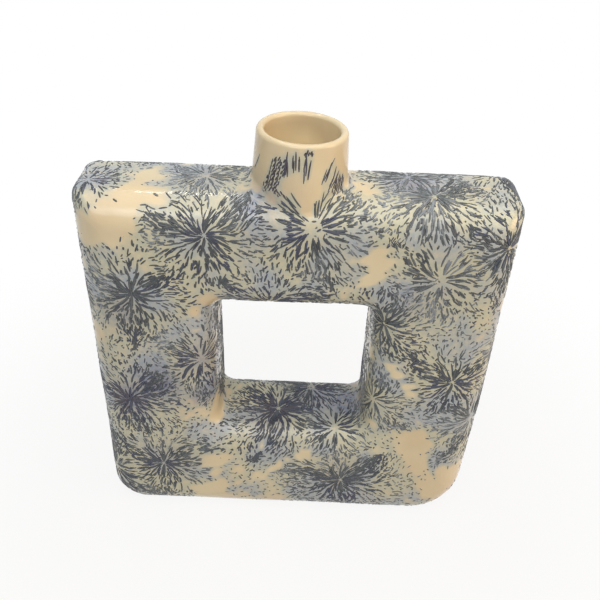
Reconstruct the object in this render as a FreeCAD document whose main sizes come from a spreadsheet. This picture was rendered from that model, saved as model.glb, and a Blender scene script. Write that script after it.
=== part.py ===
import FreeCAD, Part
import math
import os
import Sketcher

# Pillow vase: a hollow square ring of glazed stoneware with a window through its middle and a short round neck.
# It is built the way such a vase is built by hand: two pressed half shells are luted together with slip along
# an upright seam, a thrown neck is luted onto the shoulder with slip, and the whole is fired.
# Millimetres. +Z up, front towards -Y. The origin is on the table, under the middle of the vase.

document = FreeCAD.newDocument("PillowVase")
sheet = document.addObject("Spreadsheet::Sheet", "Sizes")

drivingSizes = [
    ("bodyWidth", 203, "pillow, left to right"),
    ("bodyHeight", 201, "table to the top of the shoulder"),
    ("bodyDepth", 51, "pillow, front to back"),
    ("edgeRadius", 14, "rounding from the front and back faces into the outer sides"),
    ("topFaceCorner", 1, "corner radius of the flat front face, at the top"),
    ("baseFaceCorner", 4.5, "corner radius of the flat front face, at the foot"),
    ("windowWidth", 78, "window at its narrowest, in the middle of its depth"),
    ("windowHeight", 81, "window at its narrowest"),
    ("windowRise", 3, "middle of the window above the middle of the pillow"),
    ("windowCornerRadius", 7, "corner of the window at its narrowest"),
    ("windowEdgeRadius", 14, "rounding from the faces into the window"),
    ("wallThickness", 4.5, "clay wall of the half shells"),
    ("floorThickness", 5, "clay under the lower channel"),
    ("footTrim", 2, "how much is cut off flat under the rounded foot"),
    ("footRim", 6, "ground rim left round the foot recess, at its ends"),
    ("footRecess", 0.8, "depth of the recess under the foot"),
    ("footRecessCorner", 4, "corner radius of the foot recess"),
    ("footEdge", 0.8, "small rounding where the flat foot was cut"),
    ("seamGap", 0.5, "thickness of the slip between the two half shells"),
    ("seamSetback", 0.2, "how far the slip stays under the glazed surface"),
    ("beadWidth", 3, "slip squeezed out inside, across the seam"),
    ("beadHeight", 1, "slip squeezed out inside, standing off the wall"),
    ("neckRimRadius", 20.2, "outside of the neck under its lip"),
    ("neckRootRadius", 20.7, "outside of the neck where it meets the shoulder"),
    ("neckWall", 3.6, "thickness of the neck, which is also its round lip"),
    ("neckRise", 25.5, "shoulder to the top of the lip"),
    ("neckFlare", 5, "soft fillet between neck and shoulder"),
    ("neckSlip", 0.5, "thickness of the slip under the neck"),
    ("neckSlipToe", 0.15, "how far the fillet aims under the shoulder, so that its edge is blunt"),
    ("cutOverrun", 5, "how far each cut runs past the clay"),
]

for row, (name, millimetres, note) in enumerate(drivingSizes, start=1):
    sheet.set(f"A{row}", name)
    sheet.set(f"B{row}", str(millimetres))
    sheet.setAlias(f"B{row}", name)
    sheet.set(f"C{row}", note)
document.recompute()

# Two places nearer than this count as one, in millimetres.
samePlace = 0.001

# Length of shoulder that the neck's flare needs under it.
neckSpan = "2 * (Sizes.neckRootRadius + 2 * Sizes.neckFlare)"

# Outlines in front view: half width, lowest and highest line, corner radius at the top and at the foot.
outside = {
    "half": "Sizes.bodyWidth / 2",
    "low": "-Sizes.footTrim",
    "high": "Sizes.bodyHeight",
    "topCorner": "Sizes.edgeRadius + Sizes.topFaceCorner",
    "lowCorner": "Sizes.edgeRadius + Sizes.baseFaceCorner",
}
hollowOutside = {
    "half": "Sizes.bodyWidth / 2 - Sizes.wallThickness",
    "low": "Sizes.floorThickness",
    "high": "Sizes.bodyHeight - Sizes.wallThickness",
    "topCorner": "Sizes.edgeRadius + Sizes.topFaceCorner - Sizes.wallThickness",
    "lowCorner": "Sizes.edgeRadius + Sizes.baseFaceCorner - Sizes.wallThickness",
}
window = {
    "half": "Sizes.windowWidth / 2",
    "low": "Sizes.bodyHeight / 2 + Sizes.windowRise - Sizes.windowHeight / 2",
    "high": "Sizes.bodyHeight / 2 + Sizes.windowRise + Sizes.windowHeight / 2",
    "topCorner": "Sizes.windowCornerRadius",
    "lowCorner": "Sizes.windowCornerRadius",
}


def value(formula):
    # What a formula in the sheet's names comes to now.
    return float(sheet.evalExpression(formula))


def grown(outline, amount):
    # The same outline, moved outwards all round by an amount, which may be negative.
    return {
        "half": f"{outline['half']} + ({amount})",
        "low": f"{outline['low']} - ({amount})",
        "high": f"{outline['high']} + ({amount})",
        "topCorner": f"{outline['topCorner']} + ({amount})",
        "lowCorner": f"{outline['lowCorner']} + ({amount})",
    }


def newSketch(body, label, plane, offset="0"):
    # A sketch on one of the body's own middle planes, moved off it along the plane's normal.
    sketch = body.newObject("Sketcher::SketchObject", label)
    support = next(item for item in body.Origin.OriginFeatures if item.Role == plane)
    sketch.AttachmentSupport = [(support, "")]
    sketch.MapMode = "FlatFace"
    if offset != "0":
        sketch.setExpression("AttachmentOffset.Base.z", offset)
    return sketch


def constrain(sketch, name, formula, *terms):
    # A dimension that follows the sheet.
    index = sketch.addConstraint(Sketcher.Constraint(*terms, value(formula)))
    sketch.renameConstraint(index, name)
    sketch.setExpression(f"Constraints.{name}", formula)


def addRoundedRectangle(sketch, name, outline):
    # Four sides and four corner arcs, each tangent to the next, even about the upright axis.
    half = value(outline["half"])
    low = value(outline["low"])
    high = value(outline["high"])
    topCorner = value(outline["topCorner"])
    lowCorner = value(outline["lowCorner"])
    corners = [
        (half - topCorner, high - topCorner, topCorner, 0),
        (-half + topCorner, high - topCorner, topCorner, 90),
        (-half + lowCorner, low + lowCorner, lowCorner, 180),
        (half - lowCorner, low + lowCorner, lowCorner, 270),
    ]
    upright = FreeCAD.Vector(0, 0, 1)
    shapes = []
    for across, along, radius, turn in corners:
        circle = Part.Circle(FreeCAD.Vector(across, along, 0), upright, radius)
        shapes.append(Part.ArcOfCircle(circle, math.radians(turn), math.radians(turn + 90)))
    arcs = [sketch.addGeometry(shape, False) for shape in shapes]
    sides = []
    for here, there in zip(shapes, shapes[1:] + shapes[:1]):
        sides.append(sketch.addGeometry(Part.LineSegment(here.EndPoint, there.StartPoint), False))
    for number in range(len(arcs)):
        following = (number + 1) % len(arcs)
        sketch.addConstraint(Sketcher.Constraint("Tangent", arcs[number], 2, sides[number], 1))
        sketch.addConstraint(Sketcher.Constraint("Tangent", sides[number], 2, arcs[following], 1))
    top, left, bottom, right = sides
    for level in (top, bottom):
        sketch.addConstraint(Sketcher.Constraint("Horizontal", level))
    for plumb in (left, right):
        sketch.addConstraint(Sketcher.Constraint("Vertical", plumb))
    sketch.addConstraint(Sketcher.Constraint("Equal", arcs[0], arcs[1]))
    sketch.addConstraint(Sketcher.Constraint("Equal", arcs[2], arcs[3]))
    constrain(sketch, f"{name}TopCorner", outline["topCorner"], "Radius", arcs[0])
    constrain(sketch, f"{name}LowCorner", outline["lowCorner"], "Radius", arcs[2])
    constrain(sketch, f"{name}Right", outline["half"], "DistanceX", -1, 1, right, 1)
    constrain(sketch, f"{name}Left", outline["half"], "DistanceX", left, 1, -1, 1)
    tall = f"({outline['high']}) - ({outline['low']})"
    constrain(sketch, f"{name}Tall", tall, "DistanceY", bottom, 1, top, 2)
    constrain(sketch, f"{name}High", outline["high"], "DistanceY", -1, 1, top, 1)


def addCircle(sketch, name, radius):
    # A circle about the origin.
    circle = Part.Circle(FreeCAD.Vector(0, 0, 0), FreeCAD.Vector(0, 0, 1), value(radius))
    index = sketch.addGeometry(circle, False)
    sketch.addConstraint(Sketcher.Constraint("Coincident", index, 3, -1, 1))
    constrain(sketch, f"{name}Radius", radius, "Radius", index)


def extrude(body, kind, label, sketch, length, reverse=False, middle=False):
    # A pad or a pocket of a sketch.
    feature = body.newObject(f"PartDesign::{kind}", label)
    feature.Profile = sketch
    feature.setExpression("Length", length)
    feature.Reversed = reverse
    if middle:
        feature.SideType = "Symmetric"
    document.recompute()
    return feature


def liesAt(item, axis, place):
    # Whether every corner of a face or an edge is at this place along an axis: 0 for X, 1 for Y, 2 for Z.
    return all(abs(vertex.Point[axis] - place) < samePlace for vertex in item.Vertexes)


def flatFace(shape, axis, place):
    # The largest flat face that lies at this place along an axis.
    found = [face for face in shape.Faces if isinstance(face.Surface, Part.Plane) and liesAt(face, axis, place)]
    return max(found, key=lambda face: face.Area)


def edgeNames(shape, wanted):
    # The names by which a feature knows these edges of a shape.
    names = []
    for number, edge in enumerate(shape.Edges, start=1):
        if any(edge.isSame(other) for other in wanted):
            names.append(f"Edge{number}")
    return names


def roundEdges(body, label, base, wanted, radius):
    fillet = body.newObject("PartDesign::Fillet", label)
    fillet.Base = (base, edgeNames(base.Shape, wanted))
    fillet.setExpression("Radius", radius)
    document.recompute()
    return fillet


def roundFace(body, label, base, place, outerRadius, innerRadius):
    # Rounds the outside wire, then the window's wire, of a flat face square to Y.
    outer = flatFace(base.Shape, 1, place).OuterWire
    first = roundEdges(body, f"{label}OuterEdge", base, outer.Edges, outerRadius)
    face = flatFace(first.Shape, 1, place)
    inner = [edge for wire in face.Wires if not wire.isSame(face.OuterWire) for edge in wire.Edges]
    return roundEdges(body, f"{label}WindowEdge", first, inner, innerRadius)


def halfShell(label, front):
    # One pressed half: a ring with rounded edges, hollow from the seam, flat under the foot, open for the neck.
    body = document.addObject("PartDesign::Body", label)
    body.Label = label
    seam = "Sizes.seamGap / 2" if front else "-Sizes.seamGap / 2"
    side = -1 if front else 1

    ring = newSketch(body, f"{label}Ring", "XZ_Plane", seam)
    addRoundedRectangle(ring, "outside", outside)
    addRoundedRectangle(ring, "window", window)
    half = extrude(body, "Pad", f"{label}Clay", ring, "Sizes.bodyDepth / 2 - Sizes.seamGap / 2", reverse=not front)
    roundFace(body, f"{label}Outside", half, side * value("Sizes.bodyDepth / 2"),
              "Sizes.edgeRadius", "Sizes.windowEdgeRadius")

    channel = newSketch(body, f"{label}Channel", "XZ_Plane", seam)
    addRoundedRectangle(channel, "outside", hollowOutside)
    addRoundedRectangle(channel, "window", grown(window, "Sizes.wallThickness"))
    hollow = extrude(body, "Pocket", f"{label}Hollow", channel,
                     "Sizes.bodyDepth / 2 - Sizes.seamGap / 2 - Sizes.wallThickness", reverse=front)
    roundFace(body, f"{label}Inside", hollow, side * value("Sizes.bodyDepth / 2 - Sizes.wallThickness"),
              "Sizes.edgeRadius - Sizes.wallThickness", "Sizes.windowEdgeRadius - Sizes.wallThickness")

    trim = newSketch(body, f"{label}Trim", "XY_Plane")
    addCircle(trim, "table", "Sizes.bodyWidth")
    flat = extrude(body, "Pocket", f"{label}FlatFoot", trim, "Sizes.footTrim + Sizes.cutOverrun")
    foot = flatFace(flat.Shape, 2, 0)
    cutEdges = [edge for edge in foot.Edges if not liesAt(edge, 1, side * value("Sizes.seamGap / 2"))]
    roundEdges(body, f"{label}FootEdge", flat, cutEdges, "Sizes.footEdge")

    recess = newSketch(body, f"{label}Recess", "XY_Plane")
    addRoundedRectangle(recess, "foot", {
        "half": "Sizes.bodyWidth / 2 - Sizes.edgeRadius - Sizes.baseFaceCorner - Sizes.footRim",
        "low": "-(Sizes.bodyDepth / 2 - Sizes.edgeRadius)",
        "high": "Sizes.bodyDepth / 2 - Sizes.edgeRadius",
        "topCorner": "Sizes.footRecessCorner",
        "lowCorner": "Sizes.footRecessCorner",
    })
    extrude(body, "Pocket", f"{label}FootRecess", recess, "Sizes.footRecess", reverse=True)

    boreThrough(body, label)
    return body


def boreThrough(body, label):
    # The hole under the neck, down to where the rounding of the shoulder ends.
    mouth = newSketch(body, f"{label}Mouth", "XY_Plane", "Sizes.bodyHeight + Sizes.cutOverrun")
    addCircle(mouth, "bore", "Sizes.neckRimRadius - Sizes.neckWall")
    return extrude(body, "Pocket", f"{label}NeckHole", mouth, "Sizes.edgeRadius + Sizes.cutOverrun")


def shoulder(amount, deeper="0"):
    # The shoulder in side view, with its two long roundings, moved outwards by an amount.
    return {
        "half": f"Sizes.bodyDepth / 2 + ({amount})",
        "low": f"Sizes.bodyHeight - Sizes.bodyDepth - ({deeper})",
        "high": f"Sizes.bodyHeight + ({amount})",
        "topCorner": f"Sizes.edgeRadius + ({amount})",
        "lowCorner": f"Sizes.edgeRadius + ({amount})",
    }


def addNeckProfile(sketch):
    # Half section of the neck: outside wall, full round lip, bore.
    root = value("Sizes.neckRootRadius")
    rim = value("Sizes.neckRimRadius")
    wall = value("Sizes.neckWall")
    low = value("Sizes.bodyHeight - Sizes.edgeRadius")
    lipHeight = value("Sizes.bodyHeight + Sizes.neckRise - Sizes.neckWall / 2")
    outerFoot = FreeCAD.Vector(root, low, 0)
    outerTop = FreeCAD.Vector(rim, lipHeight, 0)
    innerTop = FreeCAD.Vector(rim - wall, lipHeight, 0)
    innerFoot = FreeCAD.Vector(rim - wall, low, 0)
    lipCircle = Part.Circle(FreeCAD.Vector(rim - wall / 2, lipHeight, 0), FreeCAD.Vector(0, 0, 1), wall / 2)
    foot = sketch.addGeometry(Part.LineSegment(innerFoot, outerFoot), False)
    outer = sketch.addGeometry(Part.LineSegment(outerFoot, outerTop), False)
    lip = sketch.addGeometry(Part.ArcOfCircle(lipCircle, 0, math.pi), False)
    inner = sketch.addGeometry(Part.LineSegment(innerTop, innerFoot), False)
    for first, second in ((foot, outer), (outer, lip), (inner, foot)):
        sketch.addConstraint(Sketcher.Constraint("Coincident", first, 2, second, 1))
    sketch.addConstraint(Sketcher.Constraint("Tangent", lip, 2, inner, 1))
    sketch.addConstraint(Sketcher.Constraint("Horizontal", foot))
    sketch.addConstraint(Sketcher.Constraint("Vertical", inner))
    constrain(sketch, "low", "Sizes.bodyHeight - Sizes.edgeRadius", "DistanceY", -1, 1, foot, 1)
    constrain(sketch, "root", "Sizes.neckRootRadius", "DistanceX", -1, 1, outer, 1)
    constrain(sketch, "rim", "Sizes.neckRimRadius", "DistanceX", -1, 1, outer, 2)
    constrain(sketch, "lip", "Sizes.neckWall / 2", "Radius", lip)
    sketch.addConstraint(Sketcher.Constraint("Horizontal", lip, 3, outer, 2))
    constrain(sketch, "lipHeight", "Sizes.bodyHeight + Sizes.neckRise - Sizes.neckWall / 2",
              "DistanceY", -1, 1, lip, 3)


def rootEdges(shape):
    # Where the outside of the neck meets the shoulder.
    root = value("Sizes.neckRootRadius")
    halfWall = value("Sizes.neckWall / 2")
    shoulderTop = value("Sizes.bodyHeight")
    shoulderLow = value("Sizes.bodyHeight - Sizes.edgeRadius")
    wanted = []
    for edge in shape.Edges:
        points = [vertex.Point for vertex in edge.Vertexes]
        near = all(abs(math.hypot(point.x, point.y) - root) < halfWall for point in points)
        if near and all(shoulderLow < point.z < shoulderTop for point in points):
            wanted.append(edge)
    return wanted


def neckOnShoulder(label):
    # The neck with its flare, still standing on a short stretch of shoulder.
    body = document.addObject("PartDesign::Body", label)
    body.Label = label
    saddle = newSketch(body, f"{label}Saddle", "YZ_Plane")
    addRoundedRectangle(saddle, "shoulder", shoulder("-Sizes.neckSlipToe"))
    extrude(body, "Pad", f"{label}Shoulder", saddle, neckSpan, middle=True)
    section = newSketch(body, f"{label}Section", "XZ_Plane")
    addNeckProfile(section)
    turned = body.newObject("PartDesign::Revolution", f"{label}Thrown")
    turned.Profile = section
    turned.ReferenceAxis = (section, ["V_Axis"])
    turned.Angle = 360
    document.recompute()
    roundEdges(body, f"{label}Flare", turned, rootEdges(turned.Shape), "Sizes.neckFlare")
    return body


def neck():
    # The thrown neck: its foot is cut to the shoulder, above the layer of slip.
    body = neckOnShoulder("neck")
    seat = newSketch(body, "neckSeat", "YZ_Plane")
    addRoundedRectangle(seat, "seat", shoulder("Sizes.neckSlip", "Sizes.cutOverrun"))
    extrude(body, "Pocket", "neckFoot", seat, f"{neckSpan} + Sizes.cutOverrun", middle=True)
    return body


def neckSeamSlip():
    # The saddle-shaped layer of slip between neck and shoulder, smoothed out at its edge.
    body = neckOnShoulder("neck_seam_slip")
    clay = newSketch(body, "slipShoulder", "YZ_Plane")
    addRoundedRectangle(clay, "shoulder", shoulder("0", "Sizes.cutOverrun"))
    extrude(body, "Pocket", "slipUnderside", clay, f"{neckSpan} + Sizes.cutOverrun", middle=True)
    above = newSketch(body, "slipAbove", "YZ_Plane")
    addRoundedRectangle(above, "seat", shoulder("Sizes.neckSlip", "Sizes.cutOverrun"))
    addRoundedRectangle(above, "beyond", shoulder("Sizes.neckRise + Sizes.cutOverrun", "Sizes.bodyDepth"))
    extrude(body, "Pocket", "slipTopside", above, f"{neckSpan} + Sizes.cutOverrun", middle=True)
    return body


def seamSlip(label, skin, hollow, bead):
    # Slip between the half shells: a thin web across the wall and a bead squeezed out inside.
    body = document.addObject("PartDesign::Body", label)
    body.Label = label
    web = newSketch(body, f"{label}Web", "XZ_Plane")
    addRoundedRectangle(web, "skin", skin)
    addRoundedRectangle(web, "hollow", hollow)
    extrude(body, "Pad", f"{label}Layer", web, "Sizes.seamGap", middle=True)
    inside = newSketch(body, f"{label}Inside", "XZ_Plane")
    addRoundedRectangle(inside, "hollow", hollow)
    addRoundedRectangle(inside, "bead", bead)
    extrude(body, "Pad", f"{label}Bead", inside, "Sizes.beadWidth", middle=True)
    return body


def outerSeamSlip():
    # The slip round the outside of the pillow: above the foot recess, and open under the neck.
    skin = grown(outside, "-Sizes.seamSetback")
    skin["low"] = "Sizes.footRecess + Sizes.seamSetback"
    body = seamSlip("outer_seam_slip", skin, hollowOutside, grown(hollowOutside, "-Sizes.beadHeight"))
    boreThrough(body, "outerSeam")
    return body


def windowSeamSlip():
    # The slip round the window.
    hollow = grown(window, "Sizes.wallThickness")
    skin = grown(window, "Sizes.seamSetback")
    return seamSlip("window_seam_slip", skin, hollow, grown(hollow, "Sizes.beadHeight"))


def checkDocument(pieces):
    # Stops if a feature failed, a cut removed nothing, or a piece is not one sound solid.
    for item in document.Objects:
        if {"Invalid", "Error"} & set(item.State):
            raise RuntimeError(f"{item.Label} failed: {item.State}")
        if item.TypeId == "PartDesign::Pocket" and item.Shape.Volume >= item.BaseFeature.Shape.Volume:
            raise RuntimeError(f"{item.Label} cuts nothing")
    for piece in pieces:
        shape = piece.Shape
        if shape.isNull() or not shape.isValid() or len(shape.Solids) != 1:
            raise RuntimeError(f"{piece.Label} is not one sound solid")


vase = [
    halfShell("front_shell", front=True),
    halfShell("rear_shell", front=False),
    neck(),
    outerSeamSlip(),
    windowSeamSlip(),
    neckSeamSlip(),
]
document.recompute()
checkDocument(vase)

os.makedirs("parts", exist_ok=True)
for piece in vase:
    piece.Shape.exportStep(f"parts/{piece.Label}.step")
    print(f"{piece.Label}: {piece.Shape.Volume:.0f} cubic millimetres")
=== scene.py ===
from functools import partial
import math
from types import SimpleNamespace

import bmesh
import bpy
import numpy as np
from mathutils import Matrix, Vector


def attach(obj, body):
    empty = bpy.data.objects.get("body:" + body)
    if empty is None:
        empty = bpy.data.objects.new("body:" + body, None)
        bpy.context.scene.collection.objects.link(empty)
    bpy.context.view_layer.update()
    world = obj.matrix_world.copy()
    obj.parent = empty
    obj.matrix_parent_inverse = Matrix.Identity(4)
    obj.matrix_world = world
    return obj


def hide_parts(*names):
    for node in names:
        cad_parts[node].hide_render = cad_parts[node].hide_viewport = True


# Pillow vase: a hollow square ring of cream glazed stoneware with a round neck, covered with painted bursts.
# Sizes in the dictionaries are millimetres; everything built is metres, in the frame of the CAD model.

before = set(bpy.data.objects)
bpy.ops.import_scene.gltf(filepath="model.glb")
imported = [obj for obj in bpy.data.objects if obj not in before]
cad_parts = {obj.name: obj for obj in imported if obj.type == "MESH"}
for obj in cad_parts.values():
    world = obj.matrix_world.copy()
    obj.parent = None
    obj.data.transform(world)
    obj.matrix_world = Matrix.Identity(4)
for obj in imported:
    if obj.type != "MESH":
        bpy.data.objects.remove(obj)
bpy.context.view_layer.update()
mm = 0.001


def linearColour(hexColour):
    # sRGB hex to the linear colour that the shaders take.
    values = [int(hexColour[i:i + 2], 16) / 255 for i in (1, 3, 5)]
    return [v / 12.92 if v <= 0.04045 else ((v + 0.055) / 1.055) ** 2.4 for v in values] + [1.0]


# Each kind of node's name in Blender, the setting that a second word in a call gives, and the numbers of the
# inputs that the values in a call go to, where these aren't the first ones. Other kinds go by their own name.
nodeKinds = {
    "Attribute": "Attribute attribute_name",
    "Boolean": "BooleanMath operation",
    "Compare": "Compare operation",
    "Duplicate": "DuplicateElements - 0 2",
    "MapRange": "MapRange interpolation_type",
    "Math": "Math operation",
    "Mix": "Mix data_type 0 6 7",
    "Noise": "TexNoise - 0 2 3",
    "Proximity": "Proximity target_element 0 2",
    "Random": "RandomValue data_type 2 3 8",
    "Read": "InputNamedAttribute data_type",
    "Rotate": "VectorRotate - 0 2 3",
    "Scatter": "DistributePointsOnFaces distribute_method 0 2 3 6",
    "SetPosition": "SetPosition - 0 2",
    "Store": "StoreNamedAttribute data_type 0 2 3",
    "VectorMath": "VectorMath operation",
}
nodeFamilies = ("GeometryNode", "ShaderNode", "FunctionNode", "Node")
signs = {"+": "Math ADD", "-": "Math SUBTRACT", "*": "Math MULTIPLY", "/": "Math DIVIDE", "**": "Math POWER",
         "*+": "Math MULTIPLY_ADD", "<": "Compare LESS_THAN", ">": "Compare GREATER_THAN"}


def setInputs(node, values):
    # Gives inputs a value, or links them from a socket, a node's geometry or first output, or a list of these.
    for key, value in values.items():
        for source in value if isinstance(value, list) else [value]:
            if isinstance(source, bpy.types.Node):
                enabled = [output for output in source.outputs if output.enabled]
                source = source.outputs.get("Geometry") or enabled[0]
            if isinstance(source, bpy.types.NodeSocket):
                node.id_data.links.new(source, node.inputs[key])
            elif isinstance(source, str) and source.startswith("#"):
                node.inputs[key].default_value = linearColour(source)
            else:
                node.inputs[key].default_value = source


def addNode(tree, kind, *values, **settings):
    # One node with its settings and links. Its values are in order, or one dictionary by the inputs' names.
    kind, _, choice = signs.get(kind, kind).partition(" ")
    name, setting, *numbers = nodeKinds.get(kind, f"{kind} -").split()
    family = next(family for family in nodeFamilies if hasattr(bpy.types, family + name))
    node = tree.nodes.new(family + name)
    if choice:
        settings[setting] = choice
    for label, value in settings.items():
        setattr(node, label, value)
    if len(values) == 1 and isinstance(values[0], dict):
        setInputs(node, values[0])
    else:
        setInputs(node, dict(zip(map(int, numbers) if numbers else range(len(values)), values)))
    return node


def newTree(name, values):
    # Starts a Geometry Nodes tree with an input for each value; gives what adds a node to it, and the inputs.
    tree = bpy.data.node_groups.new(name, "GeometryNodeTree")
    for side in ("OUTPUT", "INPUT"):
        tree.interface.new_socket(name="Geometry", in_out=side, socket_type="NodeSocketGeometry")
    for label, value in values.items():
        kind = type(value).__name__.capitalize()
        tree.interface.new_socket(name=label, in_out="INPUT", socket_type=f"NodeSocket{kind}")
    return partial(addNode, tree), tree.nodes.new("NodeGroupInput").outputs


def endTree(add, geometry, material=None):
    # Realizes instances, sets the material where one is given, and gives the finished tree.
    last = add("RealizeInstances", geometry)
    if material is not None:
        last = add("SetMaterial", {"Geometry": last, "Material": material})
    return add("GroupOutput", last).id_data


def treeValues(sizes, names, **more):
    # Named values of a piece as a tree takes them, lengths in metres, and more.
    plain = ("seed", "cover", "raise", "lean", "drift")
    return {name: sizes[name] * (1 if name in plain else mm) for name in names.split()} | more


def plainMesh(holder, modifier, name):
    # The object's mesh with its modifier applied, which is then removed.
    bpy.context.view_layer.update()
    graph = bpy.context.evaluated_depsgraph_get()
    mesh = bpy.data.meshes.new_from_object(
        holder.evaluated_get(graph), preserve_all_data_layers=True, depsgraph=graph)
    holder.modifiers.remove(modifier)
    mesh.name = name
    return mesh


def grow(holder, tree, values, name):
    # Runs a tree on an object with these inputs and gives the result as a plain mesh.
    modifier = holder.modifiers.new(name, "NODES")
    modifier.node_group = tree
    for item in tree.interface.items_tree:
        if item.in_out == "INPUT" and values.get(item.name) is not None:
            modifier[item.identifier] = values[item.name]
    return plainMesh(holder, modifier, name)


def addObject(name, data, hidden=False):
    piece = bpy.data.objects.new(name, data)
    bpy.context.scene.collection.objects.link(piece)
    piece.hide_render = hidden
    return piece


def readAll(items, name, width=3, kind=float):
    # One property of all vertices, edges or faces, as an array.
    values = np.zeros(len(items) * width, kind)
    items.foreach_get(name, values)
    return values.reshape(-1, width)


def newMesh(name, vertices, faces, smooth=True):
    mesh = bpy.data.meshes.new(name)
    mesh.from_pydata(vertices, [], faces)
    mesh.polygons.foreach_set("use_smooth", np.full(len(faces), smooth))
    mesh.update()
    return mesh


def storeOn(mesh, name, values):
    # Gives each vertex a number, or three.
    values = np.array(values, np.float32)
    kind, part = ("FLOAT_VECTOR", "vector") if values.ndim == 2 else ("FLOAT", "value")
    mesh.attributes.new(name, kind, "POINT").data.foreach_set(part, values.ravel())


def turnsRound(count):
    # Angles evenly round a circle.
    return np.arange(count) / count * 2 * math.pi


def fade(value, start, end):
    # Nought up to the start, one from the end on, and even between them.
    return np.clip((value - start) / (end - start), 0, 1)


def gridFaces(points, closedRows):
    # Faces between rows of points, round each row, and from the last row back to the first where asked.
    rows, across, _ = points.shape
    index = np.arange(rows * across).reshape(rows, across)
    here = index if closedRows else index[:-1]
    above = np.roll(index, -1, axis=0) if closedRows else index[1:]
    faces = np.stack([here, np.roll(here, -1, axis=1), np.roll(above, -1, axis=1), above], axis=-1)
    faces = faces.reshape(-1, 4)
    corners = points.reshape(-1, 3)[faces]
    normals = np.cross(corners[:, 2] - corners[:, 0], corners[:, 3] - corners[:, 1])
    volume = np.einsum("ij,ij->", corners.mean(axis=1), normals)
    return faces[:, ::-1] if volume < 0 else faces  # they point outwards


def gridMesh(name, points, sharpRows=(), closedRows=True):
    mesh = newMesh(name, points.reshape(-1, 3).tolist(), gridFaces(points, closedRows).tolist())
    if sharpRows:
        row = readAll(mesh.edges, "vertices", 2, int) // points.shape[1]
        onSeam = (row[:, 0] == row[:, 1]) & np.isin(row[:, 0], sharpRows)
        mesh.attributes.new("sharp_edge", "BOOLEAN", "EDGE").data.foreach_set("value", onSeam)
    return mesh


# Camera

viewpoint = {
    "place": (4.8, -306.2, 353.2),
    "turn": (54.36, -1.675, 1.58),
    "lens": 44.3,
}


def makeCamera():
    lens = bpy.data.cameras.new("camera")
    lens.sensor_width = 36
    lens.lens = viewpoint["lens"]
    lens.clip_start = 0.01
    camera = addObject("camera", lens)
    camera.location = [v * mm for v in viewpoint["place"]]
    camera.rotation_euler = [math.radians(v) for v in viewpoint["turn"]]
    bpy.context.scene.camera = camera


# Pillow: the two pressed halves, hollow inside

pillow = {
    "width": 203,
    "height": 201,
    "depth": 51,
    "wall": 4.5,
    "footTrim": 2,  # the foot is cut flat this far up
    "topCorner": 5.5,
    "footCorners": (18, 29),  # left and right
    "edge": 16.5,
    "cornerKept": 0.45,  # share of the corner radius that is left on the flat face
    "windowWidth": 78,
    "windowHeight": 81,
    "windowMiddle": 103.5,
    "windowCorner": 7,
    "windowEdge": 14,
    "footRecess": 0.8,
    "recessHalf": (77, 10),
    "recessEdge": 1.2,
    "footContact": 0.05,  # lower than this, a point of the foot is on the table
    "floorExtra": 0.5,
    "wobble": 0.17,  # how far the hand-finished surface wanders
    "slant": 0.9,  # how far the right side leans out at the top and in at the foot
    "shift": 0.6,  # how far the foot sits to the left
    "tuck": 1.4,  # how much further its right end is drawn in
    "droop": 1.0,  # how far the right end of the top sinks
    "cornerPoints": 20,
    "sidePoints": 130,
    "outsideRows": (8, 20, 25, 17, 9),  # over the side, edge, face, window's edge and window's wall
    "insideRows": (4, 7, 8, 7, 4),
}


def ringPoints(half, low, high, topCorner, lowCorners):
    # A rounded rectangle in front view, as x and z, corner after corner.
    left, right = lowCorners
    corners = [
        (half - topCorner, high - topCorner, topCorner, 0),
        (topCorner - half, high - topCorner, topCorner, 90),
        (left - half, low + left, left, 180),
        (half - right, low + right, right, 270),
    ]
    steps = np.arange(pillow["cornerPoints"] + 1) / pillow["cornerPoints"]
    shares = np.arange(pillow["sidePoints"])[:, None] / pillow["sidePoints"]
    arcs = []
    for x, z, radius, start in corners:
        angles = np.radians(start + 90 * steps)
        arcs.append(np.column_stack([x + radius * np.cos(angles), z + radius * np.sin(angles)]))
    outline = []
    for arc, following in zip(arcs, arcs[1:] + arcs[:1]):
        outline += [arc[:-1], arc[-1] + shares * (following[0] - arc[-1])]
    return np.concatenate(outline)


def outerRing(inset):
    keep = 1 - (1 - pillow["cornerKept"]) * min(inset / pillow["edge"], 1)
    return ringPoints(pillow["width"] / 2 - inset, -pillow["footTrim"] + inset, pillow["height"] - inset,
                      pillow["topCorner"] * keep, [corner * keep for corner in pillow["footCorners"]])


def windowRing(outset):
    middle, corner = pillow["windowMiddle"], pillow["windowCorner"] + outset
    half, tall = pillow["windowWidth"] / 2 + outset, pillow["windowHeight"] / 2 + outset
    return ringPoints(half, middle - tall, middle + tall, corner, (corner, corner))


def crossSection(outset, edge, windowEdge, rowCounts, ringOut, ringIn):
    # Rows from the seam round one side of the ring to the seam in the window, as (ring, depth).
    sideRows, edgeRows, faceRows, windowRows, wallRows = rowCounts
    halfDepth = pillow["depth"] / 2 - outset

    def onEdge(ring, radius, angle):
        return ring(radius * (1 - math.cos(angle))), halfDepth - radius * (1 - math.sin(angle))

    rows = [(ringOut(0), depth) for depth in np.linspace(0, halfDepth - edge, sideRows)]
    rows += [onEdge(ringOut, edge, angle) for angle in np.radians(np.linspace(0, 90, edgeRows + 1)[1:])]
    outer, inner = ringOut(edge), ringIn(windowEdge)
    rows += [(outer + share * (inner - outer), halfDepth) for share in np.linspace(0, 1, faceRows + 2)[1:-1]]
    rows += [onEdge(ringIn, windowEdge, angle) for angle in np.radians(np.linspace(90, 0, windowRows + 1))]
    rows += [(ringIn(0), depth) for depth in np.linspace(halfDepth - windowEdge, 0, wallRows + 1)[1:]]
    return rows


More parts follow.
